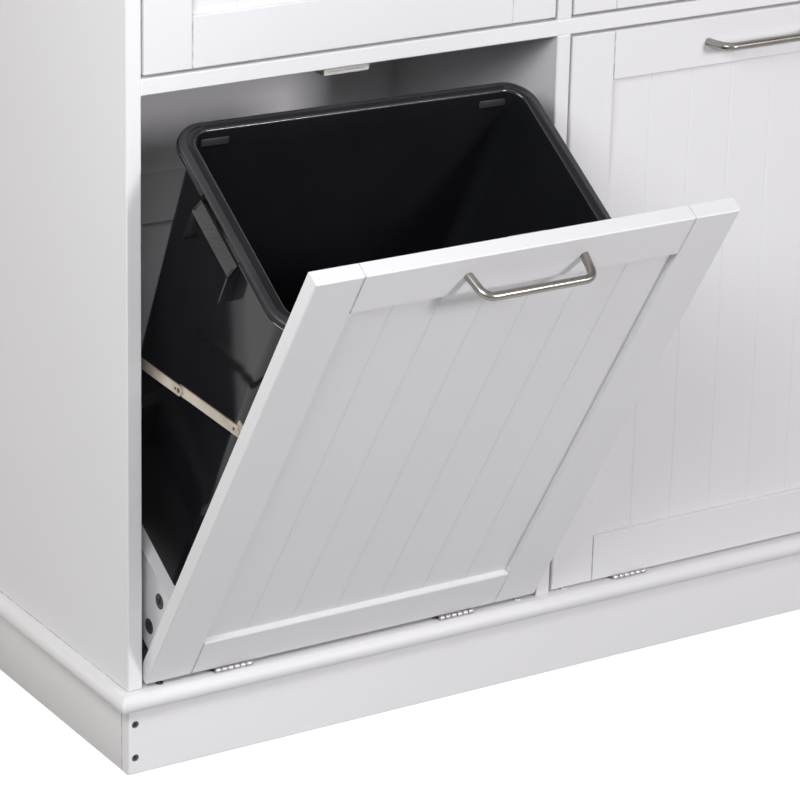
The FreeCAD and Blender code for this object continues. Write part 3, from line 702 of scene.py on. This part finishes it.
def knuckle(mesh, start, end):
    """Rolled knuckle round the hinge axis: a bored ring with eased ends, spun full."""
    before = set(mesh.faces)
    bore, barrel, ease, cut = 1.05 * mm, 2.2 * mm, 0.5 * mm, 0.15 * mm
    outline = [(start, bore), (start, barrel - ease), (start + cut, barrel - cut), (start + ease, barrel),
               (end - ease, barrel), (end - cut, barrel - cut), (end, barrel - ease), (end, bore)]
    points = [mesh.verts.new((x, hinge_axis.y - radius, hinge_axis.z)) for x, radius in outline]
    edges = [mesh.edges.new(pair) for pair in zip(points, points[1:] + points[:1])]
    bmesh.ops.spin(mesh, geom=points + edges, cent=hinge_axis, axis=(1, 0, 0), angle=2 * math.pi, steps=28,
                   use_merge=True)
    bmesh.ops.recalc_face_normals(mesh, faces=[face for face in mesh.faces if face not in before])


def hinge_leaves(name, body, sides, odd, leaf_low, pose):
    """Leaf plates with every second rolled knuckle, two to a door."""
    mesh = bmesh.new()
    pitch = hinge_length / hinge_knuckles
    gap = 0.35 * mm
    clip = 2 * mm
    back = front + 12 * mm
    leaf_high = leaf_low + hinge_leaf
    for x in [bay_middle[side] + offset for side in sides for offset in (-hinge_offset, hinge_offset)]:
        start, end = x - hinge_length / 2, x + hinge_length / 2
        leaf = [(start, front), (end, front), (end, back - clip), (end - clip, back), (start + clip, back),
                (start, back - clip)]
        bar(mesh, [(across, y, leaf_low) for across, y in leaf], (0, 0, hinge_leaf), 0)
        for number in range(odd, hinge_knuckles, 2):
            low, high = start + number * pitch + gap, start + (number + 1) * pitch - gap
            knuckle(mesh, low, high)
            bar(mesh, [(low, hinge_axis.y, leaf_low), (low, front, leaf_low), (low, front, leaf_high),
                       (low, hinge_axis.y, leaf_high)], (high - low, 0, 0), 0)
    bmesh.ops.transform(mesh, matrix=pose, verts=mesh.verts)
    piece(name + "_rolled", mesh, [hinge_metal], body, 40.0, [name])


def dome(mesh, middle, outward, radius, height):
    """Low round head on a face that looks along x, spun full."""
    before = set(mesh.faces)
    foot = -0.3 * mm
    outline = [(height, 0.0), (0.94 * height, 0.4), (0.72 * height, 0.7), (0.4 * height, 0.92), (0.0, 1.0),
               (foot, 1.0), (foot, 0.0)]
    points = [mesh.verts.new(middle + Vector((outward * rise, 0.0, radius * share))) for rise, share in outline]
    edges = [mesh.edges.new(pair) for pair in zip(points, points[1:])]
    bmesh.ops.spin(mesh, geom=points + edges, cent=middle, axis=(1, 0, 0), angle=2 * math.pi, steps=24,
                   use_merge=True)
    bmesh.ops.remove_doubles(mesh, verts=mesh.verts, dist=1e-7)
    made = [face for face in mesh.faces if face not in before]
    bmesh.ops.recalc_face_normals(mesh, faces=made)


def stay_rivets(side):
    """Rivet at the elbow of each stay and the punched studs beside its pivots, on the outer faces of the arms."""
    elbow = stay_elbow[side]
    for arm, (face, rivets) in STAY_RIVETS.items():
        arms = side + "_" + arm + "_arms"
        anchor = joints[side + "_" + arm + "_arm_turn"]["pos_m"]
        mesh = bmesh.new()
        along = (Vector((0.0, anchor[1], anchor[2])) - elbow).normalized()
        for outward in (-1, 1):
            for distance, radius in rivets:
                middle = elbow + along * distance + Vector((bay_middle[side] + outward * face, 0.0, 0.0))
                dome(mesh, middle, outward, radius, rivet_height)
        piece(arms + "_rivets", mesh, [screw_metal], arms, 50.0)


def boarded_panel(name, body, side, pose):
    """Infill of a framed front with narrow round-lipped grooves between its strips, drawn upwards from its section."""
    low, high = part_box("right_" + name)
    shift = bay_middle[side] - bay_middle["right"]
    tongue = 7 * mm
    pitch = (high.x - low.x - 2 * tongue) / panel_strips
    section = [(low.x, 0.0)]
    for number in range(1, panel_strips):
        x = low.x + tongue + number * pitch
        section += [(x + across, sunk) for across, sunk in GROOVE]
    section += [(high.x, 0.0), (high.x, high.y - low.y), (low.x, high.y - low.y)]
    mesh = bmesh.new()
    for face in bar(mesh, [(x + shift, low.y + sunk, low.z) for x, sunk in section], (0, 0, high.z - low.z), 0):
        in_groove = 0.1 < abs(face.normal.x) < 0.97
        face.material_index = int(in_groove)
    bmesh.ops.transform(mesh, matrix=pose, verts=mesh.verts)
    node = side + "_" + name
    piece(node + "_boarding", mesh, [upright_paint, groove_paint], body, 10.0, [node])


def magnetic_catches():
    """Catch bodies under the shelf with a recessed face, and the steel pole plates in it."""
    low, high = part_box("magnetic_catches")
    low = low - Vector((0.0, 0.0, 2.5 * mm))
    half = high.x - bay_middle["right"]
    frame_width, recess, round_edge = 2.8 * mm, 1.2 * mm, 2.0 * mm
    pole_margin, pole_height = 5 * mm, 1 * mm
    pole_front, pole_back = low.y + 0.9 * mm, low.y + 4 * mm
    bodies, poles = bmesh.new(), bmesh.new()
    for side in SIDES:
        middle = bay_middle[side]
        before = set(bodies.faces)
        made = block(bodies, Vector((middle - half, low.y, low.z)), Vector((middle + half, high.y, high.z)))
        face = next(face for face in bodies.faces
                    if face not in before and all(abs(vert.co.y - low.y) < tiny for vert in face.verts))
        lower = {edge for vert in made for edge in vert.link_edges
                 if all(end.co.z < low.z + tiny for end in edge.verts)}
        bmesh.ops.inset_region(bodies, faces=[face], thickness=frame_width, depth=0.0)
        bmesh.ops.translate(bodies, vec=(0, recess, 0), verts=face.verts[:])
        rounded(bodies, list(lower), round_edge, 4)
        start = middle - half + pole_margin
        for z in (low.z + 3.2 * mm, high.z - 4.2 * mm):
            bar(poles, [(start, pole_front, z), (start, pole_back, z), (start, pole_back, z + pole_height),
                        (start, pole_front, z + pole_height)], (2 * (half - pole_margin), 0, 0), 0.2 * mm)
    bmesh.ops.recalc_face_normals(bodies, faces=bodies.faces)
    piece("catch_bodies", bodies, [catch_plastic], "cabinet", 40.0, ["magnetic_catches"])
    piece("catch_pole_plates", poles, [stay_metal], "cabinet", 40.0)


for board in ("base_board", "top_board"):
    half_round_board(board)
plinth_ends()
magnetic_catches()
hinge_leaves("hinge_base_leaves", "cabinet", SIDES, 0, base_top, STILL)
for side in SIDES:
    door, drawer, pose = side + "_door", side + "_drawer", door_pose(side)
    hinge_leaves(side + "_hinge_leaves", door, [side], 1, door_bottom - hinge_leaf, pose)
    moulded_bin(side)
    stay_rivets(side)
    boarded_panel("door_panel", door, side, pose)
    boarded_panel("drawer_front_panel", drawer, side, STILL)
    bow_handle(door + "_handle", door, (bay_middle[side], front, door_handle_z), pose)
    bow_handle(drawer + "_handle", drawer, (bay_middle[side], front, drawer_handle_z), STILL)


# Camera at the photograph's place

yaw = math.radians(32.423)
pitch = math.radians(20.64)
roll = math.radians(1.387)
forward = Vector((math.sin(yaw) * math.cos(pitch), math.cos(yaw) * math.cos(pitch), -math.sin(pitch)))
level = Vector((math.cos(yaw), -math.sin(yaw), 0))
upward = level.cross(forward)
across = level * math.cos(roll) + upward * math.sin(roll)
upward = upward * math.cos(roll) - level * math.sin(roll)
camera_place = (-1.915524, -2.887791, 1.545787)
lens = bpy.data.cameras.new("camera")
lens.lens = 167.572
lens.sensor_width = 36.0
camera = bpy.data.objects.new("camera", lens)
turn = Matrix((across, upward, -forward)).transposed().to_4x4()
camera.matrix_world = Matrix.Translation(camera_place) @ turn
bpy.context.scene.collection.objects.link(camera)
bpy.context.scene.camera = camera


# Studio

def lamp(name, place_at, target, strength, colour, size):
    """Square-edged area lamp that faces a target."""
    data = bpy.data.lights.new(name, "AREA")
    data.energy = strength
    data.color = colour
    data.shape = "RECTANGLE"
    data.size, data.size_y = size
    item = bpy.data.objects.new(name, data)
    item.location = place_at
    item.rotation_euler = (Vector(target) - Vector(place_at)).to_track_quat("-Z", "Y").to_euler()
    bpy.context.scene.collection.objects.link(item)


white = (1.0, 1.0, 1.0)
lamp("overhead", (-0.1, -1.1, 2.3), (0.0, -0.15, 0.4), 3.5, white, (2.2, 0.9))
lamp("front_left", (-1.3, -1.1, 1.4), (-0.3, -0.14, 0.6), 20.5, (0.95, 0.965, 1.0), (0.8, 0.6))
lamp("front_right", (0.95, -2.9, 1.45), (-0.1, 0.0, 0.5), 45.0, (1.0, 0.97, 1.0), (0.5, 0.5))
lamp("left_back", (-2.6, 1.2, 1.6), (-0.4, 0.0, 0.5), 23.0, (1.0, 0.94, 0.86), (1.2, 1.0))
lamp("right_fill", (2.7, 0.7, 1.5), (0.45, 0.1, 0.5), 24.0, white, (1.2, 1.0))
lamp("back_fill", (0.5, 2.7, 1.6), (0.0, 0.2, 0.6), 28.0, white, (1.6, 1.0))
lamp("handle_strip", (1.72, -1.98, 1.47), (0.22, -0.17, 0.62), 3.6, white, (0.6, 0.4))


def seen_directly(tree, in_reflections):
    """One for rays from the camera and through clear parts, less in reflections, nought for scattered light."""
    path = tree.nodes.new("ShaderNodeLightPath")
    seen = math_node(tree, "MAXIMUM", path.outputs["Is Camera Ray"], path.outputs["Is Transmission Ray"])
    return math_node(tree, "MAXIMUM", seen, math_node(tree, "MULTIPLY", path.outputs["Is Glossy Ray"], in_reflections))


floor_tone, floor_glow = 0.41, 0.84
backdrop_light, backdrop_in_reflections = 0.03, 0.3
floor_mesh = bmesh.new()
bmesh.ops.create_grid(floor_mesh, x_segments=8, y_segments=8, size=6.0)
floor_data = bpy.data.meshes.new("floor")
floor_mesh.to_mesh(floor_data)
floor_mesh.free()
floor = bpy.data.objects.new("floor", floor_data)
bpy.context.scene.collection.objects.link(floor)
floor_paper = bpy.data.materials.new("floor_paper")
floor_paper.use_nodes = True
tree = floor_paper.node_tree
shader = tree.nodes["Principled BSDF"]
shader.inputs["Base Color"].default_value = (floor_tone, floor_tone, floor_tone, 1)
shader.inputs["Roughness"].default_value = 0.9
shader.inputs["Emission Color"].default_value = (*white, 1)
spot = tree.nodes.new("ShaderNodeTexCoord")
parts = tree.nodes.new("ShaderNodeSeparateXYZ")
tree.links.new(spot.outputs["Object"], parts.inputs["Vector"])
# Painted reflection: in reflections the floor glows brighter behind the cabinet than before it
behind = ramp(tree, parts.outputs["Y"], -1.8, -0.4, 0.1, 0.6)
glow = math_node(tree, "MULTIPLY", seen_directly(tree, behind), floor_glow)
tree.links.new(glow, shader.inputs["Emission Strength"])
floor_data.materials.append(floor_paper)

world = bpy.data.worlds.new("studio")
bpy.context.scene.world = world
world.use_nodes = True
tree = world.node_tree
backdrop = tree.nodes["Background"]
backdrop.inputs["Color"].default_value = (*white, 1)
light = ramp(tree, seen_directly(tree, backdrop_in_reflections), 0.0, 1.0, backdrop_light, 1.0)
tree.links.new(light, backdrop.inputs["Strength"])

bpy.context.scene.view_settings.view_transform = "Standard"
